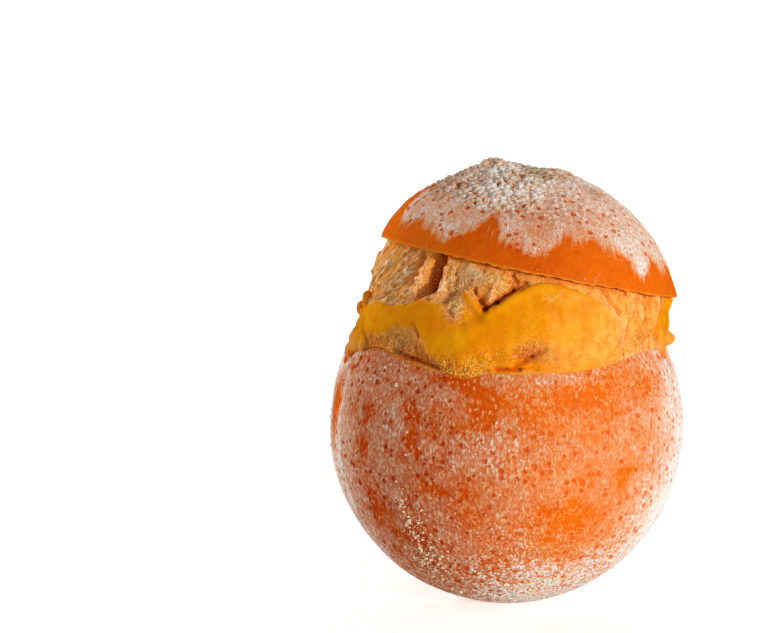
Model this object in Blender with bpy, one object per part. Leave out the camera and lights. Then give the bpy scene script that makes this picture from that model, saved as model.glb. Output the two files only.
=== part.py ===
"""A frozen orange served as its own cup: a hollowed orange peel, the sorbet that fills it and mounds
above its rim, and the fruit's own cut-off cap, set askew on the mound.

All three pieces are turned as one straight stack, in millimetres, and then made uneven together:
the knife's cut wanders, the fruit is a little lumpy, and the mound leans over with the cap.
"""

import math

import bmesh
import bpy
from mathutils import Matrix, Vector, noise

MM = 0.001
STEPS = 60  # turns of every spin

# The fruit
FRUIT_R = 42.0  # radius at the waist
FOOT_R = 6.5  # small flat that it stands on
WAIST_Z = math.sqrt(FRUIT_R**2 - FOOT_R**2)
PEEL = 3.8  # zest and pith together
GAP = 0.3  # clearance between the sorbet and the peel

# The knife's cut that opens the cup
RIM_Z = WAIST_Z + 19.2
RIM_R = math.sqrt(FRUIT_R**2 - (RIM_Z - WAIST_Z) ** 2)
# Where the knife wandered: (azimuth from the front in degrees, rise in mm, width in degrees)
CUT_WAVES = (
    (-56, 3.3, 17),
    (-17.5, -2.3, 6.5),
    (58, 2.6, 20),
    (128, -1.2, 22),
    (-140, 1.3, 26),
)
CUT_REACH = math.radians(26)  # how far along the peel a wave of the cut is felt

# The cap and how it lies
CAP_R = 36.0  # radius at its cut edge
CAP_RISE = 23.3  # crown above the cut
CAP_PEEL = 3.6
CAP_DOME_R = (CAP_R**2 + CAP_RISE**2) / (2 * CAP_RISE)
CUT_Z = 80.3  # height of the middle of its cut
CAP_SHIFT = Vector((5.3, 0.6, 0.0))
LEAN_RIGHT = math.radians(11.5)
LEAN_BACK = math.radians(5.4)
CAP_PLACE = (
    Matrix.Translation(CAP_SHIFT + Vector((0, 0, CUT_Z)))
    @ Matrix.Rotation(LEAN_RIGHT, 4, "Y")
    @ Matrix.Rotation(-LEAN_BACK, 4, "X")
    @ Matrix.Translation((0, 0, -CUT_Z))
)
CAP_SHOULDER = 1.3  # extra fullness of the cap's left side
# Bumps and dips of the crown: (x, y, rise, width), from the cap's own axis
CROWN = (
    (-13.0, 0.5, 2.4, 4.8),
    (-3.6, 0.8, -1.3, 2.6),
    (3.4, -2.4, 0.7, 3.6),
    (-6.0, 7.5, 1.0, 4.0),
)

# The mound's side between the rim and the cap
MOUND_FOOT_R = RIM_R + 0.2
MOUND_TOP_R = 34.3
MOUND_BULGE = 0.9
# Hollows (below 0) and lobes: (azimuth in degrees, height share, depth, width in mm, height in mm)
MOUND_RELIEF = (
    (-41, 0.80, -3.2, 3.4, 6.0),
    (-13, 0.62, -1.6, 2.4, 2.6),
    (-62, 0.45, 0.9, 8.0, 8.0),
    (-96, 0.42, -2.3, 11.0, 7.0),
    (12, 0.55, 0.9, 11.0, 6.0),
    (56, 0.5, 0.8, 2.6, 9.0),
    (84, 0.45, -1.0, 9.0, 6.0),
    (138, 0.6, 1.2, 10.0, 7.0),
    (-128, 0.35, -1.4, 7.0, 5.0),
    (178, 0.7, -1.6, 6.0, 6.0),
)
LUMP = 0.35  # unevenness of the fruit
GRAIN = 0.55  # unevenness of the sorbet


def smooth(share):
    share = min(1.0, max(0.0, share))
    return share * share * (3 - 2 * share)


def turned(angle):
    """The angle brought between minus and plus 180 degrees."""
    return (angle + 180) % 360 - 180


def azimuth(point):
    """Degrees round from the front, towards the right."""
    return math.degrees(math.atan2(point.x, -point.y))


def hill(distance, width):
    return math.exp(-((distance / width) ** 2))


def arc(radius, centre_z, start, end, count):
    """Points (r, z) on a round of that radius, between two angles above the level."""
    angles = [start + (end - start) * i / (count - 1) for i in range(count)]
    return [
        (radius * math.cos(a), centre_z + radius * math.sin(a)) for a in angles
    ]


def level_of(radius, height):
    return math.asin(height / radius)


def cut_wave(degrees):
    return sum(
        rise * hill(turned(degrees - where), width) for where, rise, width in CUT_WAVES
    )


def uneven_fruit(point):
    """Slides the cut along the round of the fruit, and makes the fruit itself a little lumpy."""
    from_waist = point - Vector((0, 0, WAIST_Z))
    distance = from_waist.length
    if distance < 1e-6:
        return point
    level = math.atan2(from_waist.z, math.hypot(point.x, point.y))
    rim_level = level_of(FRUIT_R, RIM_Z - WAIST_Z)
    near = smooth(1 - abs(level - rim_level) / CUT_REACH)
    level += near * cut_wave(azimuth(point)) / FRUIT_R
    around = math.atan2(point.y, point.x)
    facing = Vector(
        (
            math.cos(level) * math.cos(around),
            math.cos(level) * math.sin(around),
            math.sin(level),
        )
    )
    above_foot = smooth((math.degrees(level) + 82) / 30)
    fuller_top = 0.5 * smooth(level / rim_level) * smooth((100 - point.z) / 20)
    lump = LUMP * noise.noise(facing * 2.1 + Vector((3, 1, 7)))
    below_mound = smooth((RIM_Z + 12 - point.z) / 12)
    grown = (lump * above_foot + fuller_top) * below_mound
    return Vector((0, 0, WAIST_Z)) + facing * (distance + grown)


def lean(point):
    """The mound follows the rim at its foot and the cap at its top."""
    return point.lerp(CAP_PLACE @ point, smooth((point.z - RIM_Z) / (CUT_Z - RIM_Z)))


def mound_relief(degrees, share):
    """How far the sorbet's side stands out at that azimuth and share of the mound's height."""
    height = CUT_Z - RIM_Z
    stands = 0.0
    for where, level, depth, wide, tall in MOUND_RELIEF:
        across = math.radians(turned(degrees - where)) * MOUND_FOOT_R
        up = (share - level) * height
        stands += depth * hill(across, wide) * hill(up, tall)
    around = math.radians(degrees)
    place = Vector((math.sin(around) * 3.2, -math.cos(around) * 3.2, share * 2.4))
    stands += GRAIN * noise.noise(place)
    return stands * smooth(share / 0.12) * smooth((1 - share) / 0.1)


def spun(name, profile, shape, colour, roughness):
    """Turns a profile of (r, z) points into a closed body, and moves each point with shape."""
    mesh = bmesh.new()
    points = [mesh.verts.new((r, 0, z)) for r, z in profile]
    edges = [mesh.edges.new(pair) for pair in zip(points, points[1:])]
    bmesh.ops.spin(
        mesh,
        geom=points + edges,
        axis=(0, 0, 1),
        cent=(0, 0, 0),
        angle=2 * math.pi,
        steps=STEPS,
        use_merge=True,
    )
    bmesh.ops.remove_doubles(mesh, verts=mesh.verts, dist=1e-4)
    for vert in mesh.verts:
        vert.co = shape(vert.co) * MM
    bmesh.ops.recalc_face_normals(mesh, faces=mesh.faces)
    data = bpy.data.meshes.new(name)
    mesh.to_mesh(data)
    mesh.free()
    data.shade_smooth()
    data.set_sharp_from_angle(angle=math.radians(40))
    data.materials.append(finish(name, colour, roughness))
    piece = bpy.data.objects.new(name, data)
    bpy.context.scene.collection.objects.link(piece)
    return piece


def finish(name, colour, roughness):
    material = bpy.data.materials.new(name)
    material.use_nodes = True
    shader = material.node_tree.nodes["Principled BSDF"]
    shader.inputs["Base Color"].default_value = (*colour, 1)
    shader.inputs["Roughness"].default_value = roughness
    return material


def make_shell():
    """The hollowed fruit: outside up to the cut, across the cut, and down the inside."""
    inner_r = FRUIT_R - PEEL
    rise = RIM_Z - WAIST_Z
    foot_level = -math.acos(FOOT_R / FRUIT_R)
    outside = arc(FRUIT_R, WAIST_Z, foot_level, level_of(FRUIT_R, rise), 15)
    inside = arc(inner_r, WAIST_Z, level_of(inner_r, rise), -math.pi / 2, 10)
    profile = [(0, 0), *outside, *inside]
    return spun("shell", profile, uneven_fruit, (0.80, 0.27, 0.06), 0.6)


def sorbet_shape(point):
    radius = math.hypot(point.x, point.y)
    share = (point.z - RIM_Z - GAP) / (CUT_Z - RIM_Z - 2 * GAP)
    if 0 <= share <= 1 and radius > MOUND_TOP_R - 3:
        stands = mound_relief(azimuth(point), share)
        point = point + Vector((point.x, point.y, 0)) / radius * stands
    return lean(uneven_fruit(point))


def make_sorbet():
    """The filling: down inside the fruit, out over the cut, up the mound and into the cap."""
    below_r = FRUIT_R - PEEL - GAP
    neck_r = math.sqrt(below_r**2 - (RIM_Z - WAIST_Z) ** 2)
    inside = arc(below_r, WAIST_Z, -math.pi / 2, level_of(below_r, RIM_Z - WAIST_Z), 10)
    rows = 9
    side = []
    for i in range(rows + 1):
        share = i / rows
        radius = MOUND_FOOT_R + (MOUND_TOP_R - MOUND_FOOT_R) * share
        radius += MOUND_BULGE * math.sin(math.pi * share)
        height = RIM_Z + GAP + (CUT_Z - RIM_Z - 2 * GAP) * share
        side.append((radius, height))
    dome_z = CUT_Z + CAP_RISE - CAP_DOME_R
    under_r = CAP_DOME_R - CAP_PEEL - GAP
    crown = arc(under_r, dome_z, level_of(under_r, CUT_Z - dome_z), math.pi / 2, 8)
    in_cap = (crown[0][0], CUT_Z - GAP)
    profile = [*inside, (neck_r, RIM_Z + GAP), *side, in_cap, *crown]
    return spun("sorbet", profile, sorbet_shape, (0.86, 0.45, 0.13), 0.75)


def cap_shape(point):
    """The cap's left side is fuller, and its crown is knobbly round the stem scar."""
    dome_z = CUT_Z + CAP_RISE - CAP_DOME_R
    from_centre = point - Vector((0, 0, dome_z))
    outside = from_centre.length > CAP_DOME_R - CAP_PEEL / 2
    above_cut = point.z - CUT_Z
    if outside and above_cut > 1e-6:
        leftward = max(0.0, -point.x / CAP_R)
        partway = math.sin(math.pi * min(1.0, above_cut / CAP_RISE))
        fuller = CAP_SHOULDER * leftward * max(0.0, partway) ** 0.6
        knobs = sum(
            rise * hill(math.hypot(point.x - x, point.y - y), width)
            for x, y, rise, width in CROWN
        )
        away = from_centre.normalized()
        lump = LUMP * noise.noise(away * 2.6 + Vector((1, 9, 2)))
        point = point + away * (fuller + knobs + lump * smooth(above_cut / 4))
    return CAP_PLACE @ point


def make_cap():
    """The cut-off top of the fruit: its outside, its cut edge and the hollow under it."""
    dome_z = CUT_Z + CAP_RISE - CAP_DOME_R
    inner_r = CAP_DOME_R - CAP_PEEL
    crown = arc(CAP_DOME_R, dome_z, math.pi / 2, level_of(CAP_DOME_R, CUT_Z - dome_z), 15)
    hollow = arc(inner_r, dome_z, level_of(inner_r, CUT_Z - dome_z), math.pi / 2, 8)
    return spun("cap", [*crown, *hollow], cap_shape, (0.84, 0.30, 0.08), 0.6)


def main():
    for old in list(bpy.data.objects):
        bpy.data.objects.remove(old)
    make_shell()
    make_sorbet()
    make_cap()


main()
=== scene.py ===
"""The looks of a frozen orange that holds its own sorbet.

The frosted cup and cap of peel, the sorbet mounded between them with its melted band, the juice that ran,
the stem scar and the loose ice are made here. Shapes are worked out in millimetres.
"""

import math
import random

import bmesh
import bpy
from mathutils import Matrix, Vector, noise


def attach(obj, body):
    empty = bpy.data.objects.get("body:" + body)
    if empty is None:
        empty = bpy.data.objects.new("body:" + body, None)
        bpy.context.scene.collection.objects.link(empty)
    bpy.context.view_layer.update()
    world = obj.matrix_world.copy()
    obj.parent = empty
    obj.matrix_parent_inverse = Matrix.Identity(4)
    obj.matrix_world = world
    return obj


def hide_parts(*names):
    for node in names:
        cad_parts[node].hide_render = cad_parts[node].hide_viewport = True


MM = 0.001
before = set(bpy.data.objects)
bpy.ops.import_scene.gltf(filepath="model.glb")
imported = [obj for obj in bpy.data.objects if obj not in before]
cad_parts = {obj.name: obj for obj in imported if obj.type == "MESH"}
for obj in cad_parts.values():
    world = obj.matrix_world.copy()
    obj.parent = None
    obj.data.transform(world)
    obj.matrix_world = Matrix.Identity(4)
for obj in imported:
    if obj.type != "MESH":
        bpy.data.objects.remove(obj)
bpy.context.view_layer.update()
NOISE_SEED = 1
noise.seed_set(NOISE_SEED)  # without it noise_vector is different each run

# The fruit: a round of this radius on a small flat
FRUIT_R = 42.0
FOOT_R = 6.5
WAIST_Z = math.sqrt(FRUIT_R**2 - FOOT_R**2)
PEEL = 3.8
GAP = 0.3
HIDDEN_EDGE = 9.0  # mm between points on faces that nothing shows
RIM_Z = WAIST_Z + 19.2
RIM_LEVEL = math.asin((RIM_Z - WAIST_Z) / FRUIT_R)
RIM_R = FRUIT_R * math.cos(RIM_LEVEL)
# Where the knife wandered: (azimuth from the front in degrees, rise in mm, width in degrees)
CUT_WAVES = (
    (-56, 3.3, 17), (-17.5, -1.2, 6.5), (58, 2.6, 20), (128, -1.2, 22), (-140, 1.3, 26),
)
CUT_REACH = math.radians(26)
LUMP = 0.35

# The cap and how it lies
CAP_R = 36.0
CAP_RISE = 23.3
CAP_PEEL = 3.6
CAP_DOME_R = (CAP_R**2 + CAP_RISE**2) / (2 * CAP_RISE)
CUT_Z = 80.3
DOME_Z = CUT_Z + CAP_RISE - CAP_DOME_R
CAP_SHIFT = Vector((5.3, 0.6, 0.0))
LEAN_RIGHT = math.radians(11.5)
LEAN_BACK = math.radians(5.4)
CAP_PLACE = (
    Matrix.Translation(CAP_SHIFT + Vector((0, 0, CUT_Z)))
    @ Matrix.Rotation(LEAN_RIGHT, 4, "Y")
    @ Matrix.Rotation(-LEAN_BACK, 4, "X")
    @ Matrix.Translation((0, 0, -CUT_Z))
)
CAP_SHOULDER = 1.3
# Bumps and dips of the crown: (x, y, rise, width), from the cap's own axis
CROWN = (
    (-13, 0.5, 2.2, 4.8), (-3.6, 0.8, -1.3, 2.6), (3.4, -2.4, 0.7, 3.6), (-6, 7.5, 1, 4),
)
SCAR_AT = (-4.0, -3.0)  # x and y of the stem scar from the cap's axis
# Its section: (distance from its middle, rise above the peel), both in mm
SCAR_PROFILE = (
    (0, 0.25), (0.7, 0.3), (1.2, -0.15), (1.9, -0.1), (2.6, 0.5), (3.3, 0.45), (4, 0.05), (4.4, -0.7),
)

# The mound's side between the rim and the cap
MOUND_FOOT_R = RIM_R + 0.2
MOUND_TOP_R = 34.3
MOUND_BULGE = 0.9
# Hollows (below 0) and lobes: (azimuth in degrees, height in mm, depth, half width and half height in mm)
MOUND_RELIEF = (
    (-62, 71, 0.6, 8, 8), (-96, 70, -2.3, 11, 7), (14, 71, 1, 11, 6), (32, 74, 0.7, 5, 6),
    (52, 72, -0.8, 4, 7), (84, 70, -1, 9, 6), (138, 74, 1.2, 10, 7), (-128, 69, -1.4, 7, 5),
    (178, 75, -1.6, 6, 6), (-41.5, 67, -1.1, 6, 2.6), (-21, 79.5, -0.6, 3.2, 4),
    (-13, 74.2, -0.9, 2.4, 1.8), (-26, 70, 0.5, 6, 4), (5.5, 66, -0.9, 4, 2.2),
)
# Tears, ridges and lips as strokes over the mound: from (azimuth in degrees, height in mm) to another, then
# the half width and how far it stands out (below 0: how deep it goes), both in mm
STROKES = (
    ((-31.2, 88), (-31.5, 82.5), 1.15, -3.9), ((-31.5, 82.5), (-33.4, 79.6), 1.3, -2.9),
    ((-34, 79.6), (-38.5, 77.6), 1.1, -1.6), ((-34.6, 86), (-35.2, 81.5), 1, -1.7),
    ((-38.2, 84.6), (-38.8, 82.4), 0.7, 1.1), ((-38.8, 82.4), (-39.8, 80.6), 0.9, 0.8),
    ((-39.6, 80.8), (-42, 78.4), 0.6, 1.2), ((-42.8, 85.5), (-43.2, 80.2), 1.2, -1.1),
    ((-41.6, 78.6), (-46.5, 76.6), 0.7, 0.7), ((-31.5, 78.3), (-36.5, 76.4), 0.6, 0.7),
    ((-29.2, 83.5), (-28.2, 79), 0.9, 1.2), ((-28.2, 79), (-31, 77.2), 0.7, 0.8),
    ((-23.6, 84), (-22.6, 80.5), 0.6, -0.5), ((-16.8, 84), (-13.8, 82.6), 1.5, 0.9),
    ((-14.4, 79.8), (-11.8, 76.4), 0.55, -1.4), ((-11.4, 78), (-9.8, 75.6), 0.75, -2.2),
    ((-9.8, 75.5), (-5.6, 77.3), 0.6, -2.2), ((-5.6, 77.3), (0.6, 80), 0.6, -2),
    ((0.6, 80), (6, 81.6), 0.5, -1.3), ((-8.6, 82.4), (-4, 81.4), 2, 1.1),
    ((-7, 79.8), (-8.2, 77.4), 0.8, 0.8), ((0.5, 83.2), (1.8, 81.4), 0.7, -1.3),
    ((-37.4, 70.4), (-35.8, 68.6), 0.6, -1.5), ((1, 62.6), (6.6, 64.8), 0.6, -1),
    ((6.6, 64.8), (11, 66.4), 0.5, -0.6), ((-5.5, 61.9), (3, 61.7), 0.5, -1.3),
    ((3, 61.7), (9, 61.8), 0.4, -0.6), ((-48, 64.2), (-39, 63.1), 0.5, -1.2),
    ((-39, 63.1), (-26, 61.2), 0.55, -1.15), ((31.5, 79.6), (40.6, 72.4), 0.55, 0.7),
    ((35.5, 79), (42, 73.4), 0.5, -1.2), ((45.6, 72.4), (42.6, 66), 0.6, 0.9),
    ((48, 73), (45.6, 67), 0.8, -1), ((40, 79), (44.5, 76), 0.7, -0.8), ((52, 77.5), (55, 71), 0.6, 0.8),
    ((58.5, 78), (60, 70), 0.7, -0.9), ((64, 77), (64.5, 69), 0.6, 0.8), ((70, 76), (69, 68), 0.7, -0.8),
    ((104, 82), (108, 73), 1, -2.4), ((108, 73), (119, 69.5), 0.8, -1.6),
    ((146, 77), (156, 74.6), 1, -2.2), ((156, 74.6), (162, 72.4), 0.7, -1.5),
    ((148, 78.8), (158, 76.8), 0.9, 1.1), ((-164, 81.5), (-160, 77), 1.1, -2.8),
    ((-160, 77), (-162.5, 74), 0.8, -1.8), ((-156, 80.5), (-153, 76), 0.9, 1.2),
    ((-116, 84), (-121, 80), 0.9, -1.9), ((-121, 80), (-128, 78.6), 0.7, -1.2),
    ((-104, 82), (-106.5, 77.5), 0.8, 1), ((-106.5, 77.5), (-103, 75), 0.6, 0.6),
)
# The melted band: its crisp upper lip, its soaking lower edge, how wet it is and how far it stands proud,
# each as (azimuth in degrees, height in mm or share)
BAND_TOP = (
    (-180, 70.5), (-168, 72.2), (-160, 71.2), (-150, 73.8), (-140, 73), (-130, 70.4), (-120, 71.6),
    (-106, 69.4), (-92, 70.5), (-76, 71.2), (-69, 73), (-60, 74.2), (-51, 74.2), (-43, 75.1), (-36, 76.2),
    (-29, 76.2), (-24, 76), (-20.5, 79.6), (-18, 80), (-14, 77.6), (-10, 75.2), (-6, 76.4), (-2, 77.9),
    (2, 79.4), (7, 80.7), (13, 81.4), (19, 80.8), (25, 79.2), (31, 77), (40, 73.5), (60, 70), (72, 73),
    (80, 76.5), (88, 76.5), (96, 72.5), (112, 69), (122, 70.2), (132, 71.6), (142, 69.4), (150, 69),
    (160, 71.2), (170, 69.2), (180, 70.5),
)
BAND_FOOT = (
    (-180, 66.5), (-168, 67.6), (-158, 64), (-150, 61.6), (-144, 63.4), (-134, 68), (-120, 67.5),
    (-108, 65.6), (-92, 67), (-76, 66.6), (-70, 66.4), (-66, 66.6), (-60, 67), (-54, 67.6), (-46, 69.6),
    (-38, 70.1), (-34, 68), (-30, 65), (-25, 61), (-20, 57), (-10, 57), (-6, 60), (0, 61), (8, 60.5),
    (25, 60), (40, 63), (60, 66), (70, 66), (78, 61), (90, 62), (98, 67), (120, 67.4), (130, 65.4),
    (138, 61.2), (144, 60), (150, 62.4), (158, 66.8), (170, 65), (180, 66.5),
)
BAND_WET = (
    (-180, 1), (-150, 0.95), (-136, 0.5), (-118, 0.5), (-100, 0.9), (4, 1), (10, 0.84), (14, 0.7),
    (20, 0.64), (28, 0.57), (34, 0.4), (42, 0.18), (62, 0.05), (70, 0.8), (92, 0.9), (105, 0.3),
    (150, 0.9), (180, 1),
)
BAND_PROUD = (
    (-180, 1), (-150, 1), (-136, 0.4), (-112, 0.6), (-100, 0.2), (-76, 0.1), (-64, 0.7), (-54, 1),
    (18, 1), (30, 0.5), (40, 0.1), (62, 0), (72, 0.5), (92, 0.5), (110, 0.3), (150, 0.9), (180, 1),
)
PROUD = 1.1
# Patches: (azimuth in degrees, height in mm, half width in degrees, half height in mm, change)
BAND_CRUMBS = (
    (-21, 75.4, 4.2, 3.6, -1.1), (-23.5, 78.5, 3.4, 2.6, -1), (-14.5, 75.8, 1.2, 1.4, -0.5),
    (-17, 62.5, 10, 2.4, -0.35), (6, 74.5, 5, 2, -0.12), (6, 66.2, 7.5, 3, -0.75),
    (17, 63.5, 10, 3.6, -0.3), (27, 67, 8, 3.6, -0.2),
)
SORBET_ROUGH = (
    (-39, 81, 3.4, 4, 0.6), (-60, 78, 20, 6, 0.15), (-24, 80, 8, 5.5, 0.45), (-20, 75, 4.6, 4, 0.5),
    (-6, 82, 9, 3.4, 0.35), (12, 84, 10, 2, 0.4), (-45, 65.5, 12, 3.6, 0.5), (4, 66, 6.5, 3.4, 0.5),
    (-66, 64, 9, 4, 0.35), (22, 69, 15, 9, -0.25), (55, 74, 16, 8, -0.12), (57, 66.5, 9, 2.6, 0.3),
    (122, 75, 25, 8, 0.5), (-178, 76, 34, 8, 0.5), (-135, 75, 25, 8, 0.5),
)
# Grains of ice that show through the melted band, as yellow-white specks that are partly painted glints;
# the patch at 14.6 degrees and 78 mm paints the band's small highlights
MELT_GRAINS = (
    (-17, 61, 10, 3.6, 1), (14.6, 78, 2.4, 0.8, 0.7), (-7, 64.5, 5, 3, 0.5), (-26, 62.5, 4, 2.2, 0.5),
    (5, 73.5, 7, 3, 0.12), (10, 69.5, 8, 2.6, 0.1), (-18, 74, 5, 3, 0.3), (28, 68, 14, 6, 0.1),
)
SORBET_FROST = (
    (-58, 80, 20, 5, 0.12), (-45, 65.5, 13, 3.2, 0.25), (-40.5, 80.5, 2.4, 4, 0.5),
    (-9, 82, 9, 3.2, 0.15), (-15, 83, 3, 1.8, 0.45), (43, 69, 3.5, 5, 0.35), (58, 73, 12, 7, 0.12),
    (4, 66.5, 6, 2.5, 0.08), (125, 74, 22, 8, 0.4), (-170, 76, 26, 6, 0.4),
)
# Where the sorbet is painted paler or a deeper orange: painted shade along the cracks at the rim, in the
# crevice and round the pits, painted light on its shaded left and on the torn face under the cap, and some
# orange patches of its own
SORBET_TONE = (
    (4.5, 65.4, 8, 3, -0.4), (17, 63, 9, 3, -0.15), (-36, 66, 7, 3.4, -0.22), (-37, 62.8, 10, 1, -0.45),
    (-62, 64.5, 9, 2.6, -0.2), (-20, 58.8, 9, 1.7, -0.75), (-2, 61.6, 6, 1, -0.4),
    (-34.5, 82.5, 2, 5, -0.25), (-48, 65, 8, 3, -0.08), (-58, 80, 16, 6, 0.22), (-23, 79, 7, 6, 0.42),
    (-15, 83.5, 5, 3, 0.22), (-2, 81.5, 4, 2.5, -0.2), (-7, 82, 6, 3, -0.1), (46, 76, 3, 4, -0.3),
    (58, 73, 7, 6, -0.2), (56, 66, 9, 2.4, -0.06), (70, 72, 4, 5, -0.3),
)
# Where the mound is a little slimmer than its lobes make it
MOUND_TRIM = (
    (-86, 77.5, 11, 4.5, -0.9), (86, 69, 9, 3, -0.4),
)

# How heavily frost lies on the cup: on the whole, then where it is thinner or thicker. The heavy frost down
# both sides, at -90 and 90 degrees, is partly real frost and partly painted sheen of the limbs
SHELL_FROST = 0.36
SHELL_FROST_PATCHES = (
    (-62, 40, 18, 28, 0.06), (-90, 34, 23, 60, 1), (-42, 48, 5, 8, 0.3), (-40, 34, 10, 16, 0.06),
    (26, 46, 34, 26, -0.06), (90, 36, 27, 60, 1.7), (76, 18, 15, 12, 0.8), (2, 5, 16, 4, 0.5),
    (56, 24, 12, 10, 0.5), (70, 26, 9, 20, 0.25), (34, 2, 80, 8, 1), (-24, 4, 16, 4, 0.2),
    (36, 10, 18, 9, 0.7), (-11, 14, 12, 6, 0.1), (14, 59.4, 16, 1.3, 0.45), (-25, 23, 7, 6, 0.14),
    (40, 47, 10, 5, 0.12), (70, 13, 12, 7, 0.7), (14, 10, 14, 5, 0.15), (-56, 17, 12, 8, 0.12),
    (-37, 58, 8, 3, 0.08), (18, 18, 6, 3, -0.2), (20, 30, 5, 3, -0.12), (31, 29, 4, 2.4, -0.2),
    (-47.5, 27.5, 3, 4, -0.4), (-82, 60, 5, 4, 0.3), (-76, 36, 6, 8, 0.15), (10, 13, 9, 5, 0.34),
    (-42, 8, 16, 7, -0.12), (-33.8, 50.6, 2, 2.2, -1), (-33.2, 46.2, 1.6, 4, -1),
    (-36.8, 52, 2.4, 1.1, -0.7), (-31.8, 41.6, 1.6, 1.6, -0.7), (-41.5, 48.2, 1.2, 1.3, -0.9),
    (-53.8, 49.4, 1.2, 2.4, -0.8), (-51, 50.2, 1.4, 0.9, -0.7), (-54.6, 41.4, 2, 2, -1.1),
    (-78.5, 49.6, 5, 5, -1.6), (-80, 42, 4, 6, -0.8), (-70, 58.6, 3.6, 1.2, -1.1),
    (-67, 59.6, 2, 0.9, -0.6), (26, 56, 18, 4.2, -0.24), (52, 57, 10, 5, -0.34), (6, 53.5, 9, 3, -0.22),
    (-28, 56, 8, 2.4, 0.14), (-12, 55.5, 6, 2.4, -0.15), (-38, 52, 6, 3, 0.1), (-14, 42, 8, 4, 0.12),
    (6, 56, 7, 2.4, 0.14), (20, 44, 8, 4, 0.1), (-11, 49.2, 5, 2.4, -0.2), (-2, 44, 10, 5, 0.1),
    (-7.5, 53.6, 5, 2.6, -0.66), (-12, 29, 7, 7, -0.15), (-71, 46, 1.6, 14, 0.5), (-71, 28, 2, 12, 0.45),
    (24, 54, 7, 3, -0.15), (29, 33, 8, 6, 0.12), (24, 23, 12, 4.4, -0.26), (18, 27.5, 8, 3, -0.28),
    (30, 18, 8, 3, -0.22), (39.5, 33.5, 2.4, 3.6, -0.45), (44, 37, 7, 1.2, -0.3), (-22, 31, 8, 4, -0.16),
    (-53, 27, 2.6, 4, -1), (-46.5, 20.5, 3, 2.6, -0.75), (-36, 21, 3, 4.4, -0.6),
    (-30, 34.5, 3.6, 1.6, -0.4), (-24, 33, 3.6, 1.4, -0.3), (-18.5, 59, 7, 1.3, -1), (79, 59, 4, 4, -0.8),
    (140, 50, 12, 7, -0.4), (178, 30, 16, 8, -0.35), (-118, 40, 9, 9, -0.45), (-150, 20, 12, 6, -0.4),
    (112, 24, 8, 7, -0.45), (160, 56, 20, 4, -0.4),
)
# How clearly the beads of rime stand out on the cup, on the whole and by place
SHELL_BEADS = 0.85
SHELL_BEADS_PATCHES = (
    (30, 36, 18, 14, -0.35), (62, 44, 12, 12, -0.2), (10, 7, 70, 9, 0.8), (2, 17, 14, 9, 0.4),
    (-34, 22, 6, 9, 0.5), (74, 18, 12, 14, -0.5), (48, 14, 14, 10, 0.3), (-4, 44, 9, 6, 0.2),
    (-70, 44, 16, 22, -0.2),
)
CAP_BEADS = 0.08
CAP_FROST_BEADS = 0.42
# The cap is frosted above a ragged line: (azimuth round the cap in degrees, rise in mm, width in degrees)
CAP_FROST = 1.3
CAP_BARE = -0.45
CAP_FROST_LINE = 6.0
CAP_LINE_WAVES = (
    (-86, 7.5, 8), (-67, -2.4, 8), (-42, -3.2, 8), (-33, 0.6, 6), (-24, 5, 4.5), (-10, -0.4, 5),
    (-2, -2, 5), (9, 2.4, 5), (20, 3.6, 8), (33, 2, 7), (47, -2.6, 5), (57, 1, 4), (104, 2.6, 14),
    (150, -2, 18), (-150, 3, 16), (-118, -1.5, 10),
)
CAP_FROST_PATCHES = (
    (-6, 11, 14, 3.6, -0.5), (20, 11.5, 13, 3.6, -0.5), (-30, 10, 12, 2.6, -0.3), (12, 17, 26, 3, -0.2),
    (-40, 19, 40, 4, 0.2), (66, 12, 16, 8, -0.15), (-64, 12, 26, 8, -0.14), (-46, 8.5, 22, 3.4, -0.28),
    (-12, 20, 16, 4, 0.2), (48, 5, 4, 1.8, 0.2), (-30, 15, 14, 3, 0.3), (-1, 7, 7, 3, -0.4),
    (52, 10, 9, 4, -0.08), (-58, 21, 14, 3, 0.3),
)
# Thin streaks of rime that trail down below that line
CAP_TRAILS = (
    (-40, 4.4, 20, 2.4, 0.3), (-22, 7.5, 7, 2.6, 0.45), (-6, 5, 7, 2.4, 0.3), (14, 8, 12, 2, 0.4),
    (34, 6, 12, 2.2, 0.4), (60, 3, 9, 2, 0.35), (-150, 4, 40, 3, 0.4), (130, 4, 30, 3, 0.4),
)
# Where loose crystals of ice lie on the cup, and on the cap by its height above the cut
SHELL_ICE = (
    (-39, 28, 1.6, 4.4, 0.9), (-36, 21, 3, 5, 1), (-31.5, 16, 4.5, 3.4, 0.8), (-38, 14, 6, 4, 0.5),
    (-33, 45, 5, 8, 0.06), (29, 56, 5, 1.8, 0.12), (-2, 44, 9, 5, 0.05), (10, 7, 34, 3.6, 0.16),
    (46, 18, 9, 9, 0.05), (-53, 58, 12, 4, 0.03), (-20, 22, 12, 8, 0.03), (150, 30, 30, 20, 0.03),
)
CAP_ICE = (
    (14, 1, 14, 0.7, 0.5), (47, 3, 4, 2, 0.15), (-30, 19, 50, 4, 0.03), (60, 9, 20, 5, 0.02),
)
# Where they lie on the melted band
MELT_ICE = (
    (14.4, 78.2, 2.4, 0.9, 1), (-8, 62.5, 5, 2.4, 0.5), (-15, 61, 6, 1.8, 0.3), (2, 73, 5, 3, 0.04),
)
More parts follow.
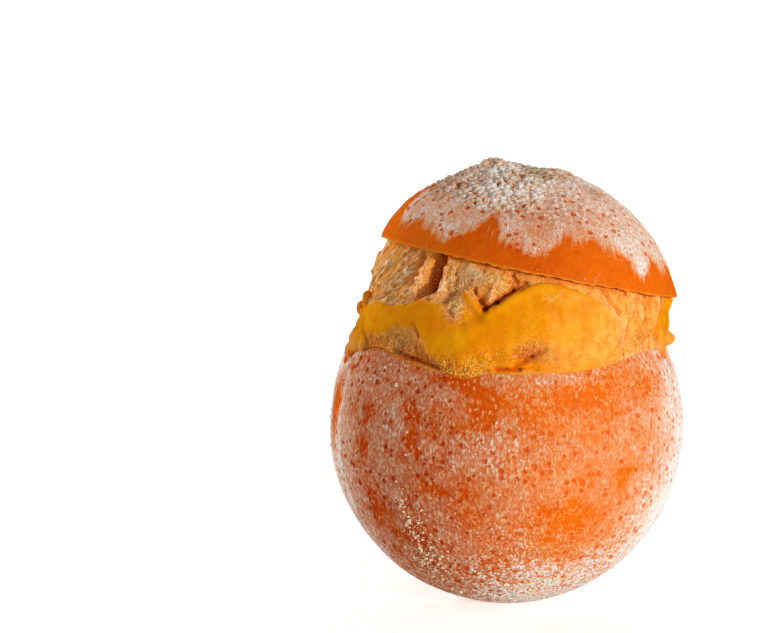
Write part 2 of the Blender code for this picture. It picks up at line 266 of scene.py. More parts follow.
# Lumps of set juice: centre, half sizes (round the fruit, outwards, up) and the azimuth they face
JUICE = (
    ((-33.2, -9.6, 73.5), (1.7, 1.4, 2.5), -75), ((-34.6, -5.5, 71), (1.5, 1.2, 2), -81),
    ((-33.4, -9, 68.6), (3.6, 1.6, 3.3), -75), ((-30.6, -17.4, 68.4), (2.8, 1, 1.6), -60),
    ((-34.8, -12.7, 64.4), (3.2, 0.95, 2.8), -70), ((-33.4, -12.2, 68), (3.6, 1.4, 2.8), -70),
    ((-34.6, -7.6, 66.2), (4.2, 1.3, 3), -78), ((-35.7, -9.6, 64.2), (3.6, 1.2, 3), -75),
    ((-36.1, -8.2, 63.4), (4.4, 1.2, 3.2), -77), ((-37.5, -6.8, 60.8), (3.4, 1, 1.9), -79.5),
    ((-38.3, -7, 58.8), (1.2, 0.7, 1.7), -80), ((36.6, -5.4, 67.2), (4.4, 1.8, 6.9), 81.5),
    ((37.5, -4.4, 72.4), (3.4, 1.9, 2.2), 83), ((37.9, -4.4, 63.8), (2.6, 1.9, 1.9), 83),
    ((36.1, -9.6, 62.4), (3, 1.3, 3.6), 75), ((36.5, -9.8, 60.2), (2.2, 0.9, 2), 74.5),
    ((36.2, -8.4, 66.2), (4.2, 1.5, 5.4), 77),
)
# Greenish-brown stains round the stem: (x, y, half width, strength), from the cap's axis
CAP_STAINS = (
    (-3.4, -8.4, 3, 0.9), (-1, -11.6, 2.2, 0.5), (10.4, -10.4, 3, 0.6), (3, -9, 3, 0.3),
    (-14, -12, 4, 0.25),
)

# For each piece, the steps of its full turn and the mm between the points of its profile
PEEL_STEPS, PEEL_EDGE = ((530, 0.49))
CAP_STEPS, CAP_EDGE = ((660, 0.39))
SORBET_STEPS, SORBET_EDGE = ((840, 0.28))

# The camera: lens in mm, metres from what it looks at, degrees above level
CAMERA_LENS = 202
CAMERA_AWAY = 1.03
CAMERA_RISE = 9
CAMERA_AIM = Vector((-0.02935, 0, 0.0682))

# Node kinds
MATH = "ShaderNodeMath"
VECTOR = "ShaderNodeVectorMath"
STEP = "ShaderNodeMapRange"
MIX = "ShaderNodeMix"
NOISE = "ShaderNodeTexNoise"
CELLS = "ShaderNodeTexVoronoi"
# Node settings
COLOURS = {"out": 2, "data_type": "RGBA"}
TIMES = {"operation": "MULTIPLY"}
TIMES_PLUS = {"operation": "MULTIPLY_ADD"}
PLUS = {"operation": "ADD"}
LESS = {"operation": "SUBTRACT"}
LARGER = {"operation": "MAXIMUM"}
SCALED = {"operation": "SCALE"}
EASED = {"interpolation_type": "SMOOTHSTEP"}


def smooth(share):
    share = min(1.0, max(0.0, share))
    return share * share * (3 - 2 * share)


def turned(angle):
    """The angle brought between minus and plus 180 degrees."""
    return (angle + 180) % 360 - 180


def azimuth(point):
    """Degrees round from the front, towards the right."""
    return math.degrees(math.atan2(point.x, -point.y))


def hill(distance, width):
    return math.exp(-((distance / width) ** 2))


def on_round(radius, centre_z, degrees, level):
    """A point on a round, at an azimuth and a level above its waist."""
    around = math.radians(degrees)
    across, up = radius * math.cos(level), radius * math.sin(level)
    return Vector((across * math.sin(around), -across * math.cos(around), centre_z + up))


def arc(radius, centre_z, start, end, spacing):
    """Points (r, z) on a round of that radius, about that far apart, between two levels."""
    count = max(2, round(abs(end - start) * radius / spacing) + 1)
    angles = [start + (end - start) * i / (count - 1) for i in range(count)]
    return [(radius * math.cos(a), centre_z + radius * math.sin(a)) for a in angles]


def line(start, end, spacing):
    """Points between two others, about that far apart, without the first."""
    first, last = Vector(start), Vector(end)
    count = max(1, round((last - first).length / spacing))
    return [tuple(first.lerp(last, i / count)) for i in range(1, count + 1)]


def along(points, degrees):
    """The value of an edge at an azimuth, between the points that it is given by."""
    for (first, low), (last, high) in zip(points, points[1:]):
        if degrees <= last:
            return low + (high - low) * (degrees - first) / (last - first)
    return points[-1][1]


def patches_at(patches, degrees, height):
    """What the soft patches add up to at that azimuth and height."""
    total = 0.0
    for where, level, wide, tall, change in patches:
        across = turned(degrees - where) / wide
        up = (height - level) / tall
        if abs(across) < 2.6 and abs(up) < 2.6:
            total += change * math.exp(-across * across - up * up)
    return total


# ---------------------------------------------------------------- shapes, in mm


def cut_wave(degrees):
    return sum(rise * hill(turned(degrees - where), width) for where, rise, width in CUT_WAVES)


def uneven_fruit(point):
    """Slides the cut along the round of the fruit, and makes the fruit itself a little lumpy."""
    from_waist = point - Vector((0, 0, WAIST_Z))
    distance = from_waist.length
    if distance < 1e-6:
        return point
    level = math.atan2(from_waist.z, math.hypot(point.x, point.y))
    near = smooth(1 - abs(level - RIM_LEVEL) / CUT_REACH)
    degrees = azimuth(point)
    level += near * cut_wave(degrees) / FRUIT_R
    facing = on_round(1.0, 0.0, degrees, level)
    above_foot = smooth((math.degrees(level) + 82) / 30)
    fuller_top = 0.5 * smooth(level / RIM_LEVEL) * smooth((100 - point.z) / 20)
    lump = LUMP * noise.noise(facing * 2.1 + Vector((3, 1, 7)))
    below_mound = smooth((RIM_Z + 12 - point.z) / 12)
    grown = (lump * above_foot + fuller_top) * below_mound
    return Vector((0, 0, WAIST_Z)) + facing * (distance + grown)


def lean(point):
    """The mound follows the rim at its foot and the cap at its top."""
    return point.lerp(CAP_PLACE @ point, smooth((point.z - RIM_Z) / (CUT_Z - RIM_Z)))


def cap_shape(point):
    """The cap's left side is fuller, and its crown is knobbly round the stem scar."""
    from_centre = point - Vector((0, 0, DOME_Z))
    outside = from_centre.length > CAP_DOME_R - CAP_PEEL / 2
    above_cut = point.z - CUT_Z
    if outside and above_cut > 1e-6:
        leftward = max(0.0, -point.x / CAP_R)
        partway = math.sin(math.pi * min(1.0, above_cut / CAP_RISE))
        fuller = CAP_SHOULDER * leftward * max(0.0, partway) ** 0.6
        knobs = sum(rise * hill(math.hypot(point.x - x, point.y - y), width) for x, y, rise, width in CROWN)
        away = from_centre.normalized()
        lump = LUMP * noise.noise(away * 2.6 + Vector((1, 9, 2)))
        point = point + away * (fuller + knobs + lump * smooth(above_cut / 4))
    return CAP_PLACE @ point


def band_at(degrees, height):
    """How much of the melted band is here by its two edges, and how near the lip is."""
    jag = 0.45 * noise.noise(Vector((degrees / 4, height / 3, 4.0)))
    jag += 0.2 * noise.noise(Vector((degrees / 1.4, height / 1.2, 9.0)))
    below_lip = along(BAND_TOP, degrees) + jag - height
    above_foot = height - along(BAND_FOOT, degrees) + 2 * jag
    there = smooth(below_lip / 0.8 + 0.5) * smooth(above_foot / 3.2 + 0.5)
    return there, below_lip


def stroke_depth(degrees, height):
    """How far the strokes stand out at a place on the mound."""
    total = 0.0
    per_degree = math.radians(1) * MOUND_FOOT_R
    for (first, low), (last, high), wide, depth in STROKES:
        reach = 2.4 * wide
        if height < min(low, high) - reach or height > max(low, high) + reach:
            continue
        aside = reach / per_degree
        if degrees < min(first, last) - aside or degrees > max(first, last) + aside:
            continue
        run = Vector(((last - first) * per_degree, high - low))
        here = Vector(((degrees - first) * per_degree, height - low))
        share = min(1.0, max(0.0, here.dot(run) / run.length_squared))
        away = (here - run * share).length
        total += depth * hill(away, wide)
    return total


def sorbet_marks(degrees, point):
    """How far a place on the mound stands out in mm, and how light, melted, grainy and frosty it is."""
    height = point.z
    there, below_lip = band_at(degrees, height)
    stands = patches_at(SORBET_LOBES, degrees, height) + patches_at(MOUND_TRIM, degrees, height)
    wander = noise.noise_vector(point * 0.55) * 0.5
    strokes = stroke_depth(degrees + wander.x * 1.4, height + wander.y * 0.8)
    proud = there * along(BAND_PROUD, degrees) * smooth((height - 60) / 4)
    lip = hill(below_lip - 1.1, 1.1) * 0.3
    melt = there * along(BAND_WET, degrees) + patches_at(BAND_CRUMBS, degrees, height)
    melt = min(1.0, max(0.0, melt))
    rough = 0.3 + patches_at(SORBET_ROUGH, degrees, height)
    rough = min(1.0, max(0.08, rough)) * (1 - 0.94 * melt) + 0.8 * patches_at(MELT_GRAINS, degrees, height)
    # the right and the back left of the mound are torn into upright ridges
    torn = smooth((degrees - 39) / 6) * smooth((80 - degrees) / 8)
    torn += smooth((degrees + 172) / 8) * smooth((-118 - degrees) / 10)
    torn *= 1 - there
    comb = noise.noise(Vector((degrees / 2.6 + wander.x, height / 9, 3.0)))
    tooth = smooth(1 - abs(comb) * 4.0)
    # the scoop dragged furrows up and to the right over the left of the mound, and over its back
    furrowed = smooth((-38 - degrees) / 10) * smooth((degrees + 100) / 14)
    furrowed += smooth((degrees - 108) / 12) * smooth((180 - degrees) / 14)
    furrowed *= smooth((height - 72) / 3)
    slanting = height * 0.80 + math.radians(degrees) * MOUND_FOOT_R * -0.60 + wander.z * 2.4
    ridge = noise.noise(Vector((slanting / 1.5, degrees / 26, height / 22)))
    coarse = noise.noise(Vector((slanting / 4.4, degrees / 40, 7.0)))
    crest = smooth(1 - abs(ridge) * 4.5)
    furrowed *= 1 - there
    stands += strokes + proud * (PROUD + lip) + furrowed * (crest * 0.5 + coarse * 1.1 - 0.2)
    # tone, partly painted light and shade: paler where strokes, crests and teeth stand out, darker in tears
    # and furrows, partly frost on the ridges
    tone = strokes * (0.34 if strokes > 0 else 0.16) + furrowed * (crest * 0.8 + coarse * 0.3 - 0.12)
    stands += torn * (tooth * 0.5 + comb * 0.8 - 0.15)
    tone += torn * (tooth * 0.55 + comb * 0.5 - 0.16)
    tone += patches_at(SORBET_TONE, degrees, height)
    frosty = patches_at(SORBET_FROST, degrees, height) * (1 - 0.9 * melt)
    return {"relief": stands, "tone": tone, "melt": melt, "rough": rough, "frosty": frosty}


# The lobes of the mound in the same terms as the other patches
SORBET_LOBES = tuple(
    (where, level, math.degrees(wide / MOUND_FOOT_R), tall, depth)
    for where, level, depth, wide, tall in MOUND_RELIEF
)


# ---------------------------------------------------------------- meshes


def spun(profile, steps):
    """A closed body turned from a profile of (r, z) points, as an open bmesh in mm."""
    mesh = bmesh.new()
    points = [mesh.verts.new((0, -r, z)) for r, z in profile]
    edges = [mesh.edges.new(pair) for pair in zip(points, points[1:])]
    bmesh.ops.spin(
        mesh,
        geom=points + edges,
        axis=(0, 0, 1),
        cent=(0, 0, 0),
        angle=2 * math.pi,
        steps=steps,
        use_merge=True,
    )
    bmesh.ops.remove_doubles(mesh, verts=mesh.verts, dist=1e-4)
    return mesh


def paint(mesh, **marks):
    """Writes numbers on the points of a bmesh: for each name, a list with one number a point."""
    for name, values in marks.items():
        layer = mesh.verts.layers.float.new(name)
        for vert, value in zip(mesh.verts, values):
            vert[layer] = value


def finished(name, mesh, material, stands_for=None):
    """Turns a bmesh in mm into a piece that rides on the object."""
    bmesh.ops.scale(mesh, vec=(MM, MM, MM), verts=mesh.verts)
    bmesh.ops.recalc_face_normals(mesh, faces=mesh.faces)
    data = bpy.data.meshes.new(name)
    mesh.to_mesh(data)
    mesh.free()
    data.shade_smooth()
    data.materials.append(material)
    piece = bpy.data.objects.new(name, data)
    bpy.context.scene.collection.objects.link(piece)
    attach(piece, "root")
    if stands_for:
        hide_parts(stands_for)
    return piece


def settled(piece):
    """Applies the piece's modifiers to its mesh."""
    bpy.context.view_layer.update()
    graph = bpy.context.evaluated_depsgraph_get()
    made = bpy.data.meshes.new_from_object(piece.evaluated_get(graph))
    old = piece.data
    piece.modifiers.clear()
    piece.data = made
    bpy.data.meshes.remove(old)
    made.name = piece.name
    return piece


def add(tree, kind, inputs=(), out=0, **settings):
    """Adds a node with its settings, sets or links its inputs, and returns one of its outputs."""
    node = tree.nodes.new(kind)
    for name, value in settings.items():
        setattr(node, name, value)
    pairs = inputs.items() if isinstance(inputs, dict) else enumerate(inputs)
    for key, value in pairs:
        if isinstance(value, bpy.types.NodeSocket):
            tree.links.new(value, node.inputs[key])
        else:
            node.inputs[key].default_value = value
    return node.outputs[out] if node.outputs else None


# ---------------------------------------------------------------- rime, shared by colour and shape

GLAND_CELL = 1.9  # mm; four in five of these cells hold an oil gland, which then lie about 2.1 mm apart
BEAD_CELL = 0.7  # mm between the rounded beads of rime
KNOB_CELL = 1.3  # mm between the knobs of rime heaped on the crown
SPECK_CELL = 0.62  # mm; few of these cells hold a bright crystal
HEAVY_SWING = 1.0 / 2 + 0.8 / 2  # half of what the noises add, which brings their mean to 0


def oil_glands(tree, place):
    """1 in the mouths of the peel's oil glands, which are uneven in size and outline."""
    outline = {"Vector": place, "Scale": 1 / 0.9, "Detail": 2.0, "Roughness": 0.6}
    wobble = add(tree, NOISE, outline, out="Color")
    pushed = add(tree, VECTOR, [wobble, (0.75, 0.75, 0.75), place], **TIMES_PLUS)
    near = {"Vector": pushed, "Scale": 1 / GLAND_CELL}
    distance = add(tree, CELLS, near, out="Distance")
    which = add(tree, CELLS, near, out="Color")
    size = add(tree, "ShaderNodeSeparateXYZ", [which])
    radius = add(tree, STEP, [size, 0.2, 0.9, 0.08, 0.38])
    inside = add(tree, MATH, [radius, distance], **LESS)
    return add(tree, STEP, [inside, -0.05, 0.09], **EASED)


def rime(tree, place, cover):
    """Rime over the peel at a place in mm. cover is how heavily it lies round there, from 0 to about 1.4.

    Gives where it lies (0 or 1, with a ragged edge), how heavy it is, and its pebbles, which average a half.
    """
    drift = add(tree, NOISE, {"Vector": place, "Scale": 1 / 6.5, "Detail": 3.0, "Roughness": 0.6})
    fleck = add(tree, NOISE, {"Vector": place, "Scale": 1 / 1.7, "Detail": 3.0, "Roughness": 0.62})
    long_way = add(tree, VECTOR, [place, (1.0, 1.0, 0.62)], **TIMES)
    grain = add(tree, NOISE, {"Vector": long_way, "Scale": 1 / 0.45, "Detail": 2.0, "Roughness": 0.6})
    wobble = add(tree, NOISE, {"Vector": place, "Scale": 1 / 0.6, "Detail": 1.0}, out="Color")
    pushed = add(tree, VECTOR, [wobble, (0.9, 0.9, 0.9), long_way], **TIMES_PLUS)
    near = {"Vector": pushed, "Scale": 1 / BEAD_CELL}
    distance = add(tree, CELLS, near, out="Distance")
    which = add(tree, "ShaderNodeSeparateXYZ", [add(tree, CELLS, near, out="Color")], out=1)
    beads = add(tree, STEP, [distance, 0.78, 0.3], **EASED)
    tall = add(tree, MATH, [which, 0.9, 0.1], **TIMES_PLUS)
    beads = add(tree, MATH, [beads, tall], **TIMES)
    pebbles = add(tree, MATH, [grain, 1.3, -0.42], **TIMES_PLUS)
    pebbles = add(tree, MATH, [beads, 0.75, pebbles], **TIMES_PLUS)
    heavy = add(tree, MATH, [drift, 1.0, cover], **TIMES_PLUS)
    heavy = add(tree, MATH, [fleck, 0.8, heavy], **TIMES_PLUS)
    heavy = add(tree, MATH, [heavy, HEAVY_SWING], **LESS)
    edge = add(tree, MATH, [pebbles, 0.4, heavy], **TIMES_PLUS)
    lies = add(tree, STEP, [edge, 0.17, 0.3], **EASED)
    return lies, heavy, pebbles


def crown_knobs(tree, place):
    """The knobs of rime heaped on the crown: 1 on top of each, 0 in the pits between them."""
    wobble = add(tree, NOISE, {"Vector": place, "Scale": 1 / 1.6, "Detail": 1.0}, out="Color")
    pushed = add(tree, VECTOR, [wobble, (0.9, 0.9, 0.9), place], **TIMES_PLUS)
    flat = add(tree, VECTOR, [pushed, (0.8, 1.0, 1.25)], **TIMES)
    distance = add(tree, CELLS, {"Vector": flat, "Scale": 1 / KNOB_CELL}, out="Distance")
    return add(tree, STEP, [distance, 0.72, 0.2], **EASED)


def relief_tree(name, labels):
    """An empty geometry node tree, its place in mm, and the attributes that it reads."""
    tree = bpy.data.node_groups.new(name, "GeometryNodeTree")
    tree.interface.new_socket("Mesh", in_out="INPUT", socket_type="NodeSocketGeometry")
    tree.interface.new_socket("Mesh", in_out="OUTPUT", socket_type="NodeSocketGeometry")
    position = add(tree, "GeometryNodeInputPosition")
    place = add(tree, VECTOR, {0: position, 3: 1 / MM}, **SCALED)
    marks = {
        label: add(tree, "GeometryNodeInputNamedAttribute", {"Name": label}, data_type="FLOAT")
        for label in labels
    }
    return tree, place, marks


def pushed_out(tree, mesh, height):
    """The mesh moved out along its normals by a height in mm."""
    normal = add(tree, "GeometryNodeInputNormal")
    length = add(tree, MATH, [height, MM], **TIMES)
    push = add(tree, VECTOR, {0: normal, 3: length}, **SCALED)
    return add(tree, "GeometryNodeSetPosition", {"Geometry": mesh, "Offset": push})


def peel_relief():
    """Rime stands on the peel, its glands are pits, and on the cap's crown it is heaped in wrinkles."""
    tree, place, marks = relief_tree("peel_relief", ("frost", "skin", "crinkle"))
    mesh = add(tree, "NodeGroupInput")
    lies, heavy, pebbles = rime(tree, place, marks["frost"])
    glands = oil_glands(tree, place)
    layer = add(tree, STEP, [heavy, 0.0, 1.4, 0.0, 0.3])
    beads = add(tree, MATH, [pebbles, lies], **TIMES)
    layer = add(tree, MATH, [beads, 0.06, layer], **TIMES_PLUS)
    deep = add(tree, STEP, [heavy, -0.3, 1.2, 0.04, 0.26])
    pits = add(tree, MATH, [glands, deep], **TIMES)
    height = add(tree, MATH, [layer, pits], **LESS)
    folds = add(tree, NOISE, {"Vector": place, "Scale": 1 / 2.6, "Detail": 2.0, "Roughness": 0.55})
    folds = add(tree, MATH, [folds, 1.2, -1.3], **TIMES_PLUS)
    heaped = add(tree, MATH, [crown_knobs(tree, place), 0.8, folds], **TIMES_PLUS)
    height = add(tree, MATH, [heaped, marks["crinkle"], height], **TIMES_PLUS)
    height = add(tree, MATH, [height, marks["skin"]], **TIMES)
    add(tree, "NodeGroupOutput", [pushed_out(tree, mesh, height)])
    return tree


def sorbet_crags(tree, place):
    """The torn, crumbly body of the sorbet at a place in mm: crags, crumbs and grains, each about 0."""
    crags = add(tree, NOISE, {"Vector": place, "Scale": 1 / 4.0, "Detail": 3.0, "Roughness": 0.6})
    crags = add(tree, MATH, [crags, 0.5], **LESS)
    wobble = add(tree, NOISE, {"Vector": place, "Scale": 1 / 1.6, "Detail": 1.0}, out="Color")
    pushed = add(tree, VECTOR, [wobble, (1.1, 1.1, 1.1), place], **TIMES_PLUS)
    crumbs = add(tree, CELLS, {"Vector": pushed, "Scale": 1 / 1.25}, out="Distance")
    crumbs = add(tree, MATH, [0.45, crumbs], **LESS)
    grains = add(tree, CELLS, {"Vector": pushed, "Scale": 1 / 0.6}, out="Distance")
    grains = add(tree, MATH, [0.45, grains], **LESS)
    return crags, crumbs, grains


def sorbet_relief():
    """Stands the mound's side out, then roughens it where it is grainy."""
    tree, place, marks = relief_tree("sorbet_relief", ("relief", "tone", "rough", "melt", "skin"))
    mesh = add(tree, "NodeGroupInput")
    crags, crumbs, grains = sorbet_crags(tree, place)
    craggy = add(tree, MATH, [marks["rough"], 3.0], **TIMES)
    crags = add(tree, MATH, [crags, craggy], **TIMES)
    height = add(tree, MATH, [crags, marks["relief"]], **PLUS)
    swell = add(tree, NOISE, {"Vector": place, "Scale": 1 / 4.0, "Detail": 1.0})
    swell = add(tree, MATH, [swell, 0.5], **LESS)
    swell = add(tree, MATH, [swell, marks["melt"]], **TIMES)
    height = add(tree, MATH, [swell, 0.6, height], **TIMES_PLUS)
    height = add(tree, MATH, [height, marks["skin"]], **TIMES)
    moved = pushed_out(tree, mesh, height)
    crumbly = add(tree, MATH, [marks["rough"], 0.6], **TIMES)
    bits = add(tree, MATH, [grains, 0.7, crumbs], **TIMES_PLUS)
    patchy = add(tree, NOISE, {"Vector": place, "Scale": 1 / 3.0, "Detail": 1.0})
    patchy = add(tree, STEP, [patchy, 0.35, 0.6, 0.4, 1.1])
    bits = add(tree, MATH, [bits, patchy], **TIMES)
    bits = add(tree, MATH, [bits, crumbly], **TIMES)
    bits = add(tree, MATH, [bits, marks["skin"]], **TIMES)
    moved = pushed_out(tree, moved, bits)
    # stands, read by the sorbet's colour: relief and tone, for its painted light on crests and painted shade
    # in hollows
    stands = add(tree, MATH, [crags, 0.26, marks["tone"]], **TIMES_PLUS)
    stands = add(tree, MATH, [bits, 0.5, stands], **TIMES_PLUS)
    stands = add(tree, MATH, [stands, 0.42], **PLUS)
    stored = {"Geometry": moved, "Name": "stands", "Value": stands}
    moved = add(tree, "GeometryNodeStoreNamedAttribute", stored, data_type="FLOAT", domain="POINT")
    add(tree, "NodeGroupOutput", [moved])
    return tree


def with_relief(piece, tree):
    modifier = piece.modifiers.new("relief", "NODES")
    modifier.node_group = tree
    return settled(piece)


# ---------------------------------------------------------------- materials


def linear(code):
    """sRGB hex to linear."""
    values = [int(code[i : i + 2], 16) / 255 for i in (0, 2, 4)]
    return (*(v / 12.92 if v <= 0.04045 else ((v + 0.055) / 1.055) ** 2.4 for v in values), 1.0)


def material_of(name, finish):
    """A material whose shader gets what finish draws in its tree, at places in mm."""
    material = bpy.data.materials.new(name)
    material.use_nodes = True
    tree = material.node_tree
    tree.nodes.clear()
    position = add(tree, "ShaderNodeTexCoord", out="Object")
    place = add(tree, VECTOR, {0: position, 3: 1 / MM}, **SCALED)
    shader = add(tree, "ShaderNodeBsdfPrincipled", finish(tree, place))
    add(tree, "ShaderNodeOutputMaterial", [shader])
    return material


def painted_glint_specks(tree, place):
    """1 on the few crystals of ice that are big enough to flash: white specks, partly real ice and partly
    painted glints.
    """
    near = {"Vector": place, "Scale": 1 / SPECK_CELL}
    distance = add(tree, CELLS, near, out="Distance")
    which = add(tree, "ShaderNodeSeparateXYZ", [add(tree, CELLS, near, out="Color")])
    clumps = add(tree, NOISE, {"Vector": place, "Scale": 1 / 5.0, "Detail": 2.0})
    chosen = add(tree, MATH, [clumps, 0.9, which], **TIMES_PLUS)
    chosen = add(tree, STEP, [chosen, 1.14, 1.28], **EASED)
    spot = add(tree, STEP, [distance, 0.38, 0.2], **EASED)
    return add(tree, MATH, [spot, chosen], **TIMES)


# Frozen zest under rime: deep waxy orange that shows, redder in its glands, through a thin matte veil of
# creamy beads that turns white where it is thick. The zest is painted darker and redder where it lies in
# shade, and painted grey-brown shade lies in the gaps between the crown's knobs.
def frosted_peel(tree, place):
    cover, cut, stain, crinkle, ripe, beaded = (
        add(tree, "ShaderNodeAttribute", out="Fac", attribute_name=label)
        for label in ("frost", "cut", "stain", "crinkle", "ripe", "beaded")
    )
    lies, heavy, pebbles = rime(tree, place, cover)
    glands = oil_glands(tree, place)
    specks = painted_glint_specks(tree, place)

    mottle = add(tree, NOISE, {"Vector": place, "Scale": 1 / 5.5, "Detail": 4.0, "Roughness": 0.6})
    mottle = add(tree, STEP, [mottle, 0.32, 0.68, -0.16, 0.16], **EASED)
    # painted light and shade: the zest is darker and redder where ripe is low, on the shaded side
    mottle = add(tree, MATH, [mottle, ripe], use_clamp=True, **PLUS)
    speckle = add(tree, NOISE, {"Vector": place, "Scale": 1 / 0.7, "Detail": 2.0, "Roughness": 0.6})
    zest = add(tree, MIX, {0: mottle, 6: linear("cc4000"), 7: linear("f06e00")}, **COLOURS)
    gland = add(tree, MIX, {0: ripe, 6: linear("ba2c00"), 7: linear("f05a04")}, **COLOURS)
    flesh = add(tree, MIX, {0: speckle, 6: linear("e67c0c"), 7: linear("ffae30")}, **COLOURS)
    light_spots = add(tree, STEP, [pebbles, 0.4, 1.0, 0.0, 0.65])
    light_spots = add(tree, MATH, [light_spots, beaded], **TIMES)
    low_spots = add(tree, STEP, [pebbles, 0.35, 0.0, 0.0, 0.5])
    red_glands = add(tree, STEP, [heavy, -0.2, 0.3, 0.22, 0.9])
    red_glands = add(tree, MATH, [red_glands, glands], **TIMES)
    # painted shade: the zest on the crown is dimmed to grey-brown, showing where the veil is thin between
    # its knobs
    painted_crown_shade = add(tree, MATH, [crinkle, 0.42], **TIMES)
    stained = add(tree, MATH, [stain, 0.8], **TIMES)
    for share, over in (
        (light_spots, linear("fc9030")),
        (low_spots, linear("de4800")),
        (red_glands, gland),
        (painted_crown_shade, linear("96683c")),
        (stained, linear("75602c")),
        (cut, flesh),
    ):
        zest = add(tree, MIX, {0: share, 6: zest, 7: over}, **COLOURS)

    veil = add(tree, MATH, [heavy, 0.6, 0.04], **TIMES_PLUS)
    swing = add(tree, MATH, [veil, 1.1, 0.2], **TIMES_PLUS)
    swing = add(tree, MATH, [swing, beaded], **TIMES)
    beady = add(tree, MATH, [pebbles, 0.5], **LESS)
    veil = add(tree, MATH, [beady, swing, veil], **TIMES_PLUS)
    closed = add(tree, STEP, [heavy, 0.0, 1.4, 0.05, 0.3])
    closed = add(tree, MIX, {0: glands, 2: 1.0, 3: closed})
    veil = add(tree, MATH, [veil, closed], **TIMES)
    # painted shade: the veil is thinned in the gaps between the crown's knobs so the dimmed zest shows there
    between = add(tree, MATH, [1.0, crown_knobs(tree, place)], **LESS)
    between = add(tree, MATH, [between, crinkle], **TIMES)
    veil = add(tree, MATH, [between, -0.32, veil], **TIMES_PLUS)
    veil = add(tree, MATH, [stain, -0.3, veil], **TIMES_PLUS)
    veil = add(tree, MATH, [veil, lies], use_clamp=True, **TIMES)
    strays = add(tree, STEP, [pebbles, 0.62, 1.0, 0.0, 0.42])
    strays = add(tree, MATH, [strays, beaded], **TIMES)
    veil = add(tree, MATH, [veil, strays], **LARGER)
    # painted highlights: the veil turns white on the specks that flash
    in_frost = add(tree, STEP, [heavy, 0.4, 0.9])
    painted_flashes = add(tree, MATH, [specks, in_frost], **TIMES)
    veil = add(tree, MATH, [veil, painted_flashes], **LARGER)
    kept = add(tree, MATH, [cut, -0.8, 1.0], **TIMES_PLUS)
    veil = add(tree, MATH, [veil, kept], use_clamp=True, **TIMES)
    thick = add(tree, STEP, [veil, 0.1, 0.95])
    ice = add(tree, MIX, {0: thick, 6: linear("f3cb86"), 7: linear("fcf6ee")}, **COLOURS)
    dirty = add(tree, MATH, [stain, 0.6], **TIMES)
    ice = add(tree, MIX, {0: dirty, 6: ice, 7: linear("b5a680")}, **COLOURS)
    colour = add(tree, MIX, {0: veil, 6: zest, 7: ice}, **COLOURS)

    roughness = add(tree, STEP, [veil, 0.0, 0.4, 0.52, 0.8])
    roughness = add(tree, MATH, [painted_flashes, -0.4, roughness], **TIMES_PLUS)
    height = add(tree, MATH, [specks, 0.5, pebbles], **TIMES_PLUS)
    standing = add(tree, STEP, [heavy, 0.0, 0.4, 0.15, 1.0])
    height = add(tree, MATH, [height, standing], **TIMES)
    pits = add(tree, MATH, [glands, red_glands], **TIMES)
    height = add(tree, MATH, [pits, -0.5, height], **TIMES_PLUS)
    bump = add(tree, "ShaderNodeBump", {"Distance": 0.17 * MM, "Height": height})
    return {
        "Base Color": colour,
        "Roughness": roughness,
        "Normal": bump,
        "IOR": 1.42,
        "Specular IOR Level": 0.08,
        "Subsurface Weight": 0.1,
        "Subsurface Radius": (1.0, 0.45, 0.2),
        "Subsurface Scale": 0.8 * MM,
    }
